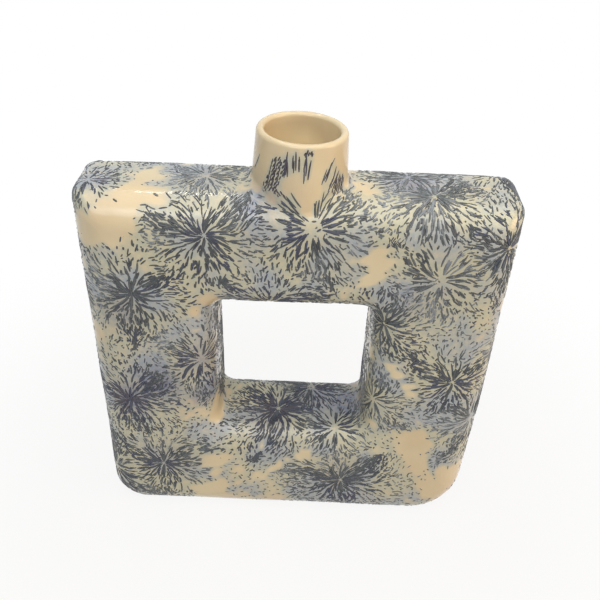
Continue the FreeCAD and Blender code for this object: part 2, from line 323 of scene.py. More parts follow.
def rowsToPoints(rows, side):
    return np.array([np.column_stack([ring[:, 0], np.full(len(ring), side * depth), ring[:, 1]])
                     for ring, depth in rows])


def wander(points):
    # A hand-built pot is a little out of true and uneven, the same on both halves where they meet.
    x, y, z = np.moveaxis(points, -1, 0)
    top = pillow["height"]
    middle = 110  # height about which the right side leans
    right = fade(x, 0, pillow["width"] / 2) ** 2
    aside = pillow["slant"] * right * (z - middle) / 100
    notByNeck = np.minimum(fade(np.hypot(x, y), 27, 41) + fade(z, top - 16, top - 26), 1)
    uneven = pillow["wobble"] * notByNeck
    return np.stack([
        x + aside - pillow["shift"] * fade(z, middle, 0) - pillow["tuck"] * right * fade(z, 80, 20)
        + uneven * np.sin(z / 11 + 1.3 * np.sin(y / 17)) * np.cos(x / 23 + 0.7),
        y + uneven * np.sin(x / 13 + 0.4) * np.sin(z / 17 + 1.1),
        z - pillow["droop"] * fade(x, 55, 101) ** 2 * fade(z, top - 51, top - 1)
        + fade(z, 0, 12) * uneven * np.cos(x / 12 + 1.9 * np.sin(y / 15)) * np.sin(z / 19 + 0.3)], axis=-1)


def shapeFoot(points):
    # Cuts the rounded foot flat and hollows it a little, leaving a ground rim.
    points[..., 2] = np.maximum(points[..., 2], 0)
    halfLength, halfBreadth = pillow["recessHalf"]
    inside = np.clip((halfLength - np.abs(points[..., 0])) / pillow["recessEdge"], 0, 1)
    inside = inside * np.clip((halfBreadth - np.abs(points[..., 1])) / pillow["recessEdge"], 0, 1)
    low = points[..., 2] < pillow["footContact"]
    points[..., 2] = np.where(low, pillow["footRecess"] * inside, points[..., 2])
    return points


def outsidePoints(side):
    # The outside of one half, from the seam round to the seam in the window.
    rows = crossSection(0, pillow["edge"], pillow["windowEdge"], pillow["outsideRows"], outerRing, windowRing)
    return shapeFoot(wander(rowsToPoints(rows, side)))


def channelRing(inset):
    # Outline of the channel that holds the water; its floor is thicker than its walls.
    ring = outerRing(inset + pillow["wall"])
    ring[:, 1] = np.maximum(ring[:, 1], pillow["wall"] + pillow["floorExtra"] + inset)
    return ring


def insidePoints(side):
    # The channel, from the window's seam back to the outer seam.
    wall = pillow["wall"]
    edge, windowEdge = pillow["edge"] - wall, pillow["windowEdge"] - wall
    rows = crossSection(wall, edge, windowEdge, pillow["insideRows"], channelRing,
                        lambda outset: windowRing(outset + wall))
    return rowsToPoints(rows[::-1], side)


def halfSkin(name, side):
    outside = outsidePoints(side)
    points = np.concatenate([outside, insidePoints(side)]) * mm
    last = len(outside) - 1
    return addObject(name, gridMesh(name, points, sharpRows=(0, last, last + 1, len(points) - 1)))


# Slip squeezed out inside along the outer seam, which shows through the mouth

seamBead = {
    "width": 3,
    "height": 1,
    "sunk": 0.3,  # into the wall
    "openHalf": 18.5,  # left out under the neck
}


def makeSeamBead():
    sunk, rise = seamBead["sunk"], seamBead["height"] + seamBead["sunk"]
    rows = [(channelRing(rise * math.sin(turn) - sunk), seamBead["width"] / 2 * math.cos(turn))
            for turn in np.linspace(0, math.pi, 8)]
    path = rowsToPoints(rows, 1).transpose(1, 0, 2)
    under = (np.abs(path[:, 0, 0]) < seamBead["openHalf"]) & (path[:, 0, 2] > pillow["windowMiddle"])
    start = np.flatnonzero(under)[-1] + 1
    path = np.roll(path, -start, axis=0)[:len(path) - under.sum()]
    ends = [np.repeat(path[end].mean(axis=0)[None, None], path.shape[1], axis=1) for end in (0, -1)]
    mesh = gridMesh("seamBeadSkin", np.concatenate([ends[0], path, ends[1]]) * mm, closedRows=False)
    closed = bmesh.new()
    closed.from_mesh(mesh)
    bmesh.ops.remove_doubles(closed, verts=closed.verts, dist=0.001 * mm)
    closed.to_mesh(mesh)
    closed.free()
    return addObject("seamBeadSkin", mesh)


# Neck

neckSizes = {
    "rim": 20.4,
    "root": 21.7,
    "wall": 3.6,
    "rise": 25.7,
    "flare": 5.5,
    "aside": 0.5,  # how far the outside of the neck sits to the right
    "lean": 0.75,  # how much further the lip does
    "tip": 0.75,  # how far the lip drops on the right and rises on the left
    "toe": 0.05,  # how far the edge of the flare sinks into the shoulder
    "toeAbove": 180,  # no part of the flare reaches lower
    "around": 240,
    "boreClearance": 0.5,  # hole in the shoulder beyond the bore, hidden by the neck
    "wobble": 0.12,
}


def shoulderHeight(y, inset=0):
    # Height of the shoulder over a place in its depth, or of the channel's ceiling under it.
    halfDepth = pillow["depth"] / 2 - inset
    edge = pillow["edge"] - inset
    past = np.clip(np.abs(y) - (halfDepth - edge), 0, edge)
    return pillow["height"] - inset - edge + np.sqrt(edge ** 2 - past ** 2)


def flareArc(turn, count):
    # The fillet between neck and shoulder at one angle round the neck, from the wall down to the shoulder.
    radius = neckSizes["flare"]
    centre = neckSizes["root"] + radius
    reach = np.linspace(neckSizes["root"] - 1, centre + radius, 900)
    ground = shoulderHeight(reach * math.sin(turn))
    onTop = np.abs(reach * math.sin(turn)) < pillow["depth"] / 2 - 0.01
    reach, ground = reach[onTop], ground[onTop]
    low, high = pillow["height"] - pillow["edge"], pillow["height"] + radius + 1
    for _ in range(40):
        middle = (low + high) / 2
        if np.hypot(reach - centre, ground - middle).min() < radius:
            low = middle
        else:
            high = middle
    away = np.hypot(reach - centre, ground - high)
    touch = int(np.argmin(away))
    end = math.atan2(ground[touch] - high, reach[touch] - centre)
    angles = np.linspace(math.pi, end + 2 * math.pi, count)
    arc = np.column_stack([centre + radius * np.cos(angles), high + radius * np.sin(angles)])
    arc[-1, 1] -= neckSizes["toe"]
    return arc


def neckProfile(turn):
    # One section of the neck as (radius, height), from the toe up, over the lip and down the bore.
    rim, wall = neckSizes["rim"], neckSizes["wall"]
    bore = rim - wall
    lipHeight = pillow["height"] + neckSizes["rise"] - wall / 2
    arc = flareArc(turn, 16)[::-1]
    climb = np.linspace(0, 1, 16)[1:, None]
    outside = arc[-1] + (np.array([rim, lipHeight]) - arc[-1]) * climb
    angles = np.linspace(0, math.pi, 14)[1:]
    lip = np.column_stack([rim - wall / 2 + wall / 2 * np.cos(angles), lipHeight + wall / 2 * np.sin(angles)])
    low = float(shoulderHeight(bore * math.sin(turn), pillow["wall"])) - 0.3
    fall = np.linspace(lipHeight, low, 16)[1:]
    inside = np.column_stack([np.full(len(fall), bore), fall])
    sleeve = bore + neckSizes["boreClearance"] + 0.2
    hidden = np.array([[sleeve, low], [sleeve, arc[0, 1] - 1.4]])
    return np.concatenate([arc, outside, lip, inside, hidden]), len(arc) + len(outside) + len(lip) // 2


def neckPoints():
    top = pillow["height"]
    sections = []
    for turn in turnsRound(neckSizes["around"]):
        section, outsideCount = neckProfile(turn)
        radius, height = section.T
        climb = fade(height, top, top + 24)
        outside = radius > neckSizes["rim"] - neckSizes["wall"] + 1
        aside = neckSizes["lean"] * climb + neckSizes["aside"] * np.where(outside, 1, climb)
        radius = radius + neckSizes["wobble"] * math.sin(2 * turn + 0.6) * fade(height, top + 2, top + 17)
        height = height - neckSizes["tip"] * math.cos(turn) * fade(height, top + 6, top + 24)
        sections.append(np.column_stack([radius * math.cos(turn) + aside, radius * math.sin(turn), height]))
    return np.array(sections).transpose(1, 0, 2), outsideCount


def makeNeck():
    points, _ = neckPoints()
    rows = len(points)
    mesh = gridMesh("neckSkin", points * mm, sharpRows=(0, rows - 3, rows - 2, rows - 1))
    return addObject("neckSkin", mesh)


def openShoulder(shells):
    # Cuts the hole under the neck through both halves.
    radius = (neckSizes["rim"] - neckSizes["wall"] + neckSizes["boreClearance"]) * mm
    top, bottom = (pillow["height"] + 5) * mm, (pillow["height"] - 12) * mm
    count = 96
    turns = turnsRound(count)
    ring = np.column_stack([radius * np.cos(turns), radius * np.sin(turns)])
    vertices = [(x, y, height) for height in (bottom, top) for x, y in ring]
    sides = [(i, (i + 1) % count, count + (i + 1) % count, count + i) for i in range(count)]
    caps = [tuple(range(count))[::-1], tuple(range(count, 2 * count))]
    drill = addObject("drill", newMesh("drill", vertices, sides + caps, smooth=False))
    for shell in shells:
        cut = shell.modifiers.new("hole", "BOOLEAN")
        cut.operation = "DIFFERENCE"
        cut.solver = "MANIFOLD"
        cut.object = drill
        shell.data = plainMesh(shell, cut, shell.name)
    bpy.data.objects.remove(drill)


def makeCanvas():
    # The outside of pillow and neck as one thin surface, which the painted strokes follow.
    body = np.concatenate([outsidePoints(-1), outsidePoints(1)[::-1][1:-1]]) * mm
    points, outsideCount = neckPoints()
    neck = points[:outsideCount] * mm
    toe = neck[0][np.argsort(np.arctan2(neck[0, :, 1], neck[0, :, 0]))]
    faces = gridFaces(body, closedRows=True)
    x, y, z = body.reshape(-1, 3)[faces].mean(axis=1).T
    limit = np.interp(np.arctan2(y, x), np.arctan2(toe[:, 1], toe[:, 0]), np.hypot(toe[:, 0], toe[:, 1]),
                      period=2 * math.pi)
    underNeck = (np.hypot(x, y) < limit) & (z > neckSizes["toeAbove"] * mm)
    neckFaces = gridFaces(neck, closedRows=False) + body.size // 3
    vertices = np.concatenate([body.reshape(-1, 3), neck.reshape(-1, 3)])
    mesh = newMesh("canvas", vertices.tolist(), np.concatenate([faces[~underNeck], neckFaces]).tolist())
    return addObject("canvas", mesh, hidden=True)


makeCamera()
frontSkin = halfSkin("frontSkin", -1)
rearSkin = halfSkin("rearSkin", 1)
openShoulder([frontSkin, rearSkin])
seamBeadSkin = makeSeamBead()
neckSkin = makeNeck()
canvas = makeCanvas()
print("pillow, neck and canvas:", [len(o.data.polygons) for o in (frontSkin, rearSkin, neckSkin, canvas)])


# Painted bursts: where they sit

bursts = {
    "spacing": 34,  # between the middles of bursts that are not listed
    "keepOff": 27,  # of those from a placed one
    "neckClear": 34,  # of those from the middle of the neck
    "plainClear": 24,  # of those from the middle of a plain place
    "leastReach": 27,
    "mostReach": 36,
    "mostBlank": 2.5,  # radius of the bare middle
    "lowest": 6,
    "neckMiddle": 12,  # this far above the shoulder
    "densest": 3000.0,  # to the square metre
    "seed": 11,
}

# Bursts listed one by one, where they show from the front: the middle in shares of half the width, half the
# depth and the height, reach and blank middle in millimetres, crowding, tone from pale to indigo, and bend.
placedBursts = [
    (-0.4, -1, 0.92, 40, 0.8, 1.1, 0.45, 0.4),
    (-0.75, -1, 0.755, 34, 0, 1.2, 0.5, -0.3),
    (0.6, -0.43, 1, 44, 1, 1.15, 0.22, 0.5),
    (0.5, 0.3, 1, 28, 1, 1.1, 0.55, -0.4),
    (0.08, -0.95, 0.945, 37, 4, 1, 0.45, 0.3),
    (0.66, -1, 0.825, 31, 2.5, 0.85, 0.4, -0.5),
    (-0.82, -1, 0.42, 32, 0, 1.3, 0.75, 0.5),
    (-0.69, -1, 0.18, 37, 0.8, 1.15, 0.45, -0.4),
    (-0.45, -0.91, 0.555, 27, 2, 1, 0.5, 0.3),
    # The next two bursts lie on the window's sill: real pattern, crowded more so that it darkens the sill as
    # painted shade under the top bar.
    (-0.07, -0.23, 0.31, 38, 1, 1.5, 0.6, -0.4),
    (0.11, 0.5, 0.31, 24, 2, 1.8, 0.65, 0.4),
    (0.43, -0.87, 0.685, 27, 0.5, 1.15, 0.45, 0.4),
    (0.8, -1, 0.52, 33, 0.8, 1.05, 0.5, -0.3),
    (0.42, -0.83, 0.435, 24, 1.5, 1.1, 0.5, 0.4),
    (0.29, -1, 0.14, 41, 0.8, 1.25, 0.45, 0.4),
    (-0.93, -0.3, 0.985, 17, 1, 1.1, 0.5, 0.2),
    (-0.42, 0.05, 1, 25, 2, 1.2, 0.15, -0.3),
    (-0.13, 0.95, 0.945, 37, 3, 1, 0.5, 0.3),
    (0.24, -0.72, 0.31, 22, 2, 1.1, 0.4, 0.3),
]

# Places left plain: the same shares, then a radius in millimetres.
plainPlaces = [
    (-0.78, -0.89, 0.965, 12), (-0.6, -0.7, 1, 9), (-0.66, 0.11, 1, 8), (0.41, -1, 0.86, 9),
    (0.36, -1, 0.82, 6), (0.68, -1, 0.29, 10), (0.79, -1, 0.115, 9), (-0.38, -0.6, 0.35, 7),
    (-0.25, -1, 0.19, 5), (0.03, -0.78, 0.99, 3), (-0.25, -0.3, 1, 6), (0.29, -0.25, 1, 7),
    (0.9, 0.98, 0.7, 9), (-0.6, 1, 0.35, 11), (0.25, 1, 0.87, 10), (-0.1, 1, 0.2, 9),
]


def placesOn(table):
    # Shares of half the width, half the depth and the height, as metres.
    halves = np.array([pillow["width"] / 2, pillow["depth"] / 2, pillow["height"]]) * mm
    return np.array([row[:3] for row in table]) * halves


def pointHolder(name, places, values):
    # An object of loose points that carry values.
    mesh = newMesh(name, places.tolist(), [])
    for label, column in values.items():
        storeOn(mesh, label, column)
    return addObject(name, mesh, hidden=True)


def leaveOut(add, points, reasons):
    # Deletes the points for which any reason holds.
    unwanted = reasons[0]
    for reason in reasons[1:]:
        unwanted = add("Boolean OR", unwanted, reason)
    return add("DeleteGeometry", points, unwanted)


def giveChances(add, points, spans, seed):
    # Stores a random value between two limits under each name.
    for number, (name, (least, most)) in enumerate(spans.items()):
        chance = add("Random", least, most, seed + number)
        points = add("Store", points, name, chance)
    return points


def patches(add, place, size, detail, spread, result, **settings):
    # Soft noise with patches of about this size, its middle spread from one result to the other.
    noise = add("Noise", place, 1 / (size * mm), detail)
    return add("MapRange", noise, *spread, *result, **settings)


def nearPlain(add, say):
    # Whether a point is too near the middle of a plain place.
    plain = add("ObjectInfo", say["plainPlaces"])
    return add("<", add("Proximity POINTS", plain).outputs["Distance"], say["plainClear"])


def beyondHeights(add, say, place):
    # Whether a place is lower than the lowest paint, and whether it is higher than the highest.
    height = add("SeparateXYZ", place).outputs["Z"]
    return [add("<", height, say["lowest"]), add(">", height, say["highest"])]


def burstTree(values):
    # Adds evenly scattered bursts where none is listed, and seats them all on the surface.
    add, say = newTree("scatterBursts", values)
    surface = add("ObjectInfo", say["canvas"])
    placed = add("MeshToPoints", say["Geometry"])
    scattered = add("Scatter POISSON", surface, say["spacing"], bursts["densest"], say["seed"])
    tooNear = add("<", add("Proximity POINTS", placed).outputs["Distance"], say["keepOff"])
    neckMiddle = (0, 0, (pillow["height"] + bursts["neckMiddle"]) * mm)
    onNeck = add("<", add("VectorMath DISTANCE", add("InputPosition"), neckMiddle), say["neckClear"])
    low = add("<", add("SeparateXYZ", add("InputPosition")).outputs["Z"], say["lowest"])
    kept = leaveOut(add, scattered, [tooNear, low, onNeck, nearPlain(add, say)])
    kept = giveChances(add, kept, {
        "reach": (say["leastReach"], say["mostReach"]), "blank": (0.0, say["mostBlank"]),
        "crowd": (0.9, 1.25), "tone": (0.3, 0.7), "bend": (-0.5, 0.5)}, seed=3)
    joined = add("JoinGeometry", [kept, placed])
    seated = add("SetPosition", joined, add("Proximity", surface))
    return endTree(add, add("PointsToVertices", seated))


def placeBursts():
    table = np.array(placedBursts)
    placed = pointHolder("placedBursts", placesOn(placedBursts), {
        "reach": table[:, 3] * mm, "blank": table[:, 4] * mm, "crowd": table[:, 5], "tone": table[:, 6],
        "bend": table[:, 7]})
    values = treeValues(
        bursts, "spacing keepOff neckClear plainClear leastReach mostReach mostBlank lowest seed",
        canvas=canvas, plainPlaces=plainHolder)
    mesh = grow(placed, burstTree(values), values, "burstPoints")
    bpy.data.objects.remove(placed)
    places = readAll(mesh.vertices, "co", kind=np.float32)
    part = (places[:, 0] > 0) + 2 * (places[:, 1] > 0) + 4 * (places[:, 2] > pillow["height"] / 2 * mm)
    storeOn(mesh, "part", part)
    print("bursts:", len(places))
    return addObject("burstPoints", mesh, hidden=True)


# Clumps of upright strokes on the neck: degrees round it from the front, height, lean in degrees, size across
# and along, how many strokes, and how long.
neckClumps = [
    (-68, 210.5, 34, 0.5, 1, 1, 12),
    (-15, 212.5, 0, 2.4, 2, 3, 9.5),
    (-30, 211, 20, 7.6, 16, 48, 2.6),
    (-21, 203.4, -30, 5.5, 2.5, 7, 2),
    (-3, 215.5, 0, 3.8, 2.5, 4, 7.5),
    (9, 212.5, 3, 2.8, 7, 4, 9.5),
    (11, 222.4, 14, 4.5, 1.6, 6, 1.8),
    (31, 209.5, 18, 2.6, 2.5, 3, 9.5),
    (42, 206.5, 26, 3.8, 5, 6, 6),
    (54, 204.8, 20, 7, 7, 22, 2.7),
    (110, 210, -14, 6, 9, 22, 4),
    (158, 211.5, 4, 4, 9, 16, 5),
    (200, 210, 18, 6, 10, 24, 3.6),
    (258, 211, -8, 3, 7, 8, 6),
]


def neckMarks():
    # One point with a heading for each stroke on the neck. Shares of its number vary its place and look.
    rows = []
    radius = neckSizes["root"] - 0.2
    for turn, height, lean, across, along, count, length in neckClumps:
        slope = math.tan(math.radians(lean))
        for number in range(count):
            side = ((number * 0.618 + 0.31) % 1 - 0.5) * across
            climb = ((number + 0.5) / count - 0.5) * along
            angle = math.radians(turn) + (side + climb * slope) / radius
            sine, cosine = math.sin(angle), math.cos(angle)
            level = slope * (1 + 0.5 * math.sin(7 * number))
            heading = np.array([cosine * level, sine * level, 1])
            heading /= np.linalg.norm(heading)
            rows.append((radius * sine, -radius * cosine, height + climb, *heading,
                         length * (0.75 + 0.5 * (number * 0.37 % 1)), 22 * math.sin(3 * number + turn),
                         0.75 + 0.35 * (number * 0.73 % 1), 0.85 + 0.3 * (number * 0.59 % 1)))
    table = np.array(rows)
    return pointHolder("neckMarks", table[:, :3] * mm, {
        "heading": table[:, 3:6], "length": table[:, 6] * mm, "curl": table[:, 7], "thickness": table[:, 8],
        "tone": table[:, 9]})


# Short dashes and dots that lie between the bursts
dots = {
    "spacing": 2.4,
    "cover": 0.5,  # noise above this has dots
    "plainClear": 7,  # none this near the middle of a plain place
    "leastLength": 0.7,
    "mostLength": 2.3,
    "patch": 16,  # size of the places with dots and without
    "densest": 400000.0,
    "seed": 17,
}


def dotTree(values):
    add, say = newTree("scatterDots", values)
    spots = add("Scatter POISSON", say["Geometry"], say["spacing"], dots["densest"], say["seed"])
    anyWay = add("Random FLOAT_VECTOR", {0: (-1, -1, -1), 1: (1, 1, 1), "Seed": 4})
    heading = add("VectorMath NORMALIZE", add("VectorMath CROSS_PRODUCT", spots.outputs["Normal"], anyWay))
    kept = add("Store FLOAT_VECTOR", spots, "heading", heading)
    bare = add("<", add("Noise", add("InputPosition"), 1 / (dots["patch"] * mm), 2.0), say["cover"])
    kept = leaveOut(add, kept, [bare, nearPlain(add, say), *beyondHeights(add, say, add("InputPosition"))])
    kept = giveChances(add, kept, {
        "length": (say["leastLength"], say["mostLength"]), "curl": (-90.0, 90.0), "thickness": (0.75, 1.15),
        "tone": (0.0, 0.75)}, seed=12)
    return endTree(add, add("PointsToVertices", kept))


def placeDots():
    values = treeValues(dots, "spacing cover plainClear leastLength mostLength seed", plainPlaces=plainHolder,
                        **treeValues(strokes, "lowest highest"))
    mesh = grow(canvas, dotTree(values), values, "dotPoints")
    print("dots:", len(mesh.vertices))
    return addObject("dotPoints", mesh, hidden=True)


# Painted strokes: what each burst is made of

strokes = {
    "areaEach": 4.0,  # surface for one stroke, square millimetres
    "width": 0.80,
    "raise": 0.45,  # height of the raised paint, as a share of half its width
    "longest": 7.5,  # at the middle of a burst
    "shortest": 1.9,  # at its edge
    "lean": 0.22,  # radians by which a stroke leaves the ray that it lies on
    "drift": 1.1,  # the same, shared by neighbours, most in the outer part of a burst
    "lobes": 0.16,  # how far a burst's outline goes in and out, as a share of its reach
    "ragged": (0.8, 1.18),  # where single strokes end it, as shares of its reach
    "jitter": 1.3,  # how far a stroke's start strays across its ray
    "jitterRoom": 1.5,  # keeps the jitter small near the middle
    "waveBend": 21.0,  # radians to the metre by which rays bend like their neighbours
    "burstBend": 30.0,  # the same for a whole burst, at most
    "mingle": 3,  # how far strokes of two bursts run into each other
    "tipShare": 0.65,  # of a stroke's length that has to be clear of other things
    "plainShare": 0.78,  # of the strokes in a plain place that are left out
    "lowest": 2.0,
    "highest": 203.6,  # the neck above this has strokes of its own
    "seed": 5,
}
ringsPerStroke = 5
stepsOut = 12  # from a burst's middle to where a stroke starts
goldenAngle = 2.39996
# How far out a stroke starts, by its number as a share of all: the spacing across the rays stays even.
startShares = [(0, 0), (0.02, 0.04), (0.05, 0.167), (0.11, 0.333), (0.21, 0.5), (0.37, 0.667), (0.63, 0.833),
               (1, 1)]
taperShares = [(0, 0.55), (0.15, 0.95), (0.5, 1.0), (0.85, 0.9), (1, 0.45)]


def setCurve(node, shares):
    curve = node.mapping.curves[0]
    curve.points[0].location, curve.points[1].location = shares[0], shares[-1]
    for place in shares[1:-1]:
        curve.points.new(*place)
    node.mapping.update()


def addWalk(add, points, surface, read, steps):
    # Points step over the surface, each by its own stride and turn, and keep their heading in it.
    first, last = add("RepeatInput"), add("RepeatOutput")
    first.pair_with_output(last)
    setInputs(first, {"Iterations": steps, "Geometry": points})
    turned = add("Rotate", read.heading, read.up, read.turn)
    points = add("Store FLOAT_VECTOR", first, "heading", turned)
    ahead = add("VectorMath MULTIPLY_ADD", read.heading, read.stride, add("InputPosition"))
    points = add("SetPosition", points, add("Proximity", surface, ahead))
    points = addUp(add, points, surface)
    sideways = add("VectorMath PROJECT", read.heading, read.up)
    level = add("VectorMath NORMALIZE", add("VectorMath SUBTRACT", read.heading, sideways))
    setInputs(last, {"Geometry": add("Store FLOAT_VECTOR", points, "heading", level)})
    return last


def addUp(add, points, surface):
    # Stores the surface's own direction under each point.
    normal = add("InputNormal")
    sample = add("SampleNearestSurface", {"Mesh": surface, "Value": normal}, data_type="FLOAT_VECTOR")
    return add("Store FLOAT_VECTOR", points, "up", sample)


def strokeTree(values):
    # Rays of strokes round each burst's middle: long near it, shorter and more broken further out.
    add, say = newTree("paintStrokes", values)
    surface = add("ObjectInfo", say["canvas"])
    plain = add("ObjectInfo", say["plainPlaces"])
    position = add("InputPosition")
    numbers = ("reach blank part crowd bend phase count share angle distance radius stride turn length curl "
               "thickness tone along")
    read = SimpleNamespace(**{name: add("Read", name) for name in numbers.split()},
                           **{name: add("Read FLOAT_VECTOR", name) for name in ("up", "heading", "middle")})

    # The bursts of this part of the vase
    elsewhere = add("Compare NOT_EQUAL", {0: read.part, 1: say["part"], "Epsilon": 0.1})
    middles = add("MeshToPoints", say["Geometry"])
    points = addUp(add, add("DeleteGeometry", middles, elsewhere), surface)
    points = add("Store FLOAT_VECTOR", points, "middle", position)
    disc = add("*", add("*", read.reach, read.reach), math.pi)
    points = add("Store", points, "phase", add("Random", 0.0, 2 * math.pi, say["seed"]))
    points = add("Store", points, "count", add("*", disc, add("/", read.crowd, say["areaEach"])))

    # A start for each stroke, spread like seeds in a flower head, with a ragged edge to the whole
    points = add("Duplicate", points, read.count)
    number = points.outputs["Duplicate Index"]
    spread = add("FloatCurve", {"Value": add("/", add("+", number, 0.5), read.count)})
    setCurve(spread, startShares)
    distance = add("MapRange", spread, 0.0, 1.0, read.blank, read.reach)
    lobes = add("Math SINE", add("*+", number, 2 * goldenAngle, read.phase))
    uneven = add("*+", lobes, strokes["lobes"], add("Random", *strokes["ragged"], 41))
    distance = add("*", distance, uneven)
    chance = add("Random", -strokes["jitter"] * mm, strokes["jitter"] * mm, say["seed"])
    jitter = add("/", chance, add("+", distance, strokes["jitterRoom"] * mm))
    points = add("Store", points, "share", spread)
    points = add("Store", points, "angle", add("*+", number, goldenAngle, jitter))
    points = add("Store", points, "distance", distance)
    across = add("VectorMath NORMALIZE", add("VectorMath CROSS_PRODUCT", read.up, (0.32, 0.51, 0.8)))
    points = add("Store FLOAT_VECTOR", points, "heading", add("Rotate", across, read.up, read.angle))

    # Walk out along the ray, which bends like its neighbours
    stride = add("/", read.distance, stepsOut)
    wave = add("Math SINE", add("*+", read.angle, 3.0, read.phase))
    bend = add("*+", read.bend, strokes["burstBend"], add("*", wave, strokes["waveBend"]))
    points = add("Store", points, "turn", add("*", bend, stride))
    points = add("Store", points, "stride", stride)
    points = addWalk(add, points, surface, read, stepsOut)

    # Each stroke's length, then leave out what reaches another burst, a plain place, the foot or the neck
    inward = add("**", add("-", 1.0, read.share), 2.0)
    length = add("MapRange", inward, 0.0, 1.0, say["shortest"], say["longest"])
    points = add("Store", points, "length", add("*", length, add("Random", 0.5, 1.5, 31)))
    ahead = add("*", read.length, strokes["tipShare"])
    tip = add("VectorMath MULTIPLY_ADD", read.heading, ahead, position)
    nearest = add("Proximity POINTS", middles, tip).outputs["Distance"]
    limit = add("+", nearest, add("Random", 0.0, strokes["mingle"] * mm, 21))
    covered = add(">", add("VectorMath DISTANCE", tip, read.middle), limit)
    which = add("SampleNearest", {"Geometry": plain, "Sample Position": tip})
    radius = add("SampleIndex", {"Geometry": plain, "Value": read.radius, "Index": which})
    rough = patches(add, position, 1000 / 130, 1.0, (0.3, 0.7), (0.5, 1.5))
    bare = add("<", add("Proximity POINTS", plain, tip).outputs["Distance"], add("*", radius, rough))
    bare = add("Boolean AND", bare, add("<", add("Random", 0.0, 1.0, 22), strokes["plainShare"]))
    gap = add("<", add("Noise", position, 62.0, 1.5), add("MapRange", read.share, 0.15, 1.0, 0.25, 0.42))
    points = leaveOut(add, points, [covered, bare, *beyondHeights(add, say, tip), gap])

    # Each stroke's own lean, curl, thickness and tone: bolder and darker towards the middle
    shared = patches(add, position, 9, 1.0, (0.25, 0.75), (-1.0, 1.0), clamp=False)
    drift = add("*", shared, add("*", read.share, say["drift"]))
    lean = add("*+", add("Random", -1.0, 1.0, 32), say["lean"], drift)
    points = add("Store FLOAT_VECTOR", points, "heading", add("Rotate", read.heading, read.up, lean))
    curl = add("*+", shared, 60.0, add("Random", -22.0, 22.0, 33))
    bold = add("*+", add("**", add("Random", 0.0, 1.0, 34), 4.0), 0.55, 0.9)
    thickness = add("*", bold, patches(add, position, 13, 1.0, (0.3, 0.7), (0.75, 1.25)))
    thickness = add("*", thickness, add("*+", read.share, -0.4, 1.24))
    tone = add("+", read.tone, add("Random", -0.2, 0.2, 35))
    tone = add("+", tone, patches(add, position, 28, 1.0, (0.3, 0.7), (-0.32, 0.28)))
    tone = add("+", tone, add("*+", read.share, -0.24, 0.08))
    for name, value in {"curl": curl, "thickness": thickness, "tone": tone}.items():
        points = add("Store", points, name, value)

    # The strokes that are placed one by one, and a number for each stroke
    marks = addUp(add, add("MeshToPoints", add("ObjectInfo", say["marks"])), surface)
    joined = add("JoinGeometry", [points, marks])
    points = add("Store INT", joined, "stroke", add("InputIndex"))

    # The points along each stroke
    points = add("Duplicate", points, ringsPerStroke)
    along = add("/", points.outputs["Duplicate Index"], ringsPerStroke - 1)
    stride = add("/", add("*", read.length, along), ringsPerStroke - 1)
    for name, value in {"turn": add("*", stride, read.curl), "stride": stride, "along": along}.items():
        points = add("Store", points, name, value)
    points = addWalk(add, points, surface, read, ringsPerStroke - 1)
    lines = add("PointsToCurves", points, add("Read INT", "stroke"), read.along)
    lines = add("SetCurveNormal", {"Curve": lines, "Normal": read.up}, mode="FREE")

    # A low rounded bead of paint with blunt ends
    taper = add("FloatCurve", {"Value": read.along})
    setCurve(taper, taperShares)
    size = add("*", add("*", taper, add("*", say["width"], 0.5)), read.thickness)
    bead = add("CurvePrimitiveCircle", {"Resolution": 4, "Radius": 1.0})
    flat = add("CombineXYZ", say["raise"], 1.0, 1.0)
    bead = add("Transform", {"Geometry": bead, "Scale": flat})
    paint = add("CurveToMesh", {"Curve": lines, "Profile Curve": bead, "Scale": size, "Fill Caps": True})
    return endTree(add, add("SetShadeSmooth", paint), say["material"])


def paintStrokes(material):
    marks = {"Neck": neckMarks(), "Dots": placeDots()}
    values = treeValues(
        strokes, "width raise longest shortest lean drift lowest highest seed",
        areaEach=strokes["areaEach"] * mm ** 2, canvas=canvas, plainPlaces=plainHolder, material=material,
        part=0.0, marks=marks["Neck"])
    tree = strokeTree(values)
    names = [depth + side + level for level in ("Low", "High") for depth in ("Front", "Rear")
             for side in ("Left", "Right")]
    pieces = []
    for number, name in enumerate([*names, *marks]):
        values |= {"part": float(number), "marks": marks.get(name)}
        mesh = grow(burstPoints, tree, values, f"strokes{name}")
        kept = ("tone", "position", "material_index", "sharp_face", "sharp_edge")
        for spare in [a.name for a in mesh.attributes if a.name not in kept and not a.is_internal]:
            mesh.attributes.remove(mesh.attributes[spare])
        pieces.append(addObject(f"strokes{name}", mesh))
    for spare in marks.values():
        bpy.data.objects.remove(spare)
    print("painted strokes, faces:", [len(piece.data.polygons) for piece in pieces])
    return pieces


paintMaterial = bpy.data.materials.new("slateUnderglaze")
plainRadii = [radius * mm for *_, radius in plainPlaces]
plainHolder = pointHolder("plainPlaces", placesOn(plainPlaces), {"radius": plainRadii})
burstPoints = placeBursts()
strokePieces = paintStrokes(paintMaterial)


# How near each place on the skin is to a painted stroke

halo = {
    "full": 0.35,  # within this distance the pale slip round a stroke is thickest
    "gone": 2.0,
}


def haloTree(values):
    add, say = newTree("slipRoundStrokes", values)
    paint = add("RealizeInstances", add("CollectionInfo", {"Collection": say["strokes"]}))
    near = add("Proximity", paint).outputs["Distance"]
    fade = add("MapRange SMOOTHSTEP", near, say["full"], say["gone"], 1.0, 0.0)
    spread = add("BlurAttribute", {"Value": fade, "Iterations": 5})
    dense = add("MapRange SMOOTHSTEP", spread, 0.4, 0.9)
    return endTree(add, add("Store", say["Geometry"], "halo", dense))
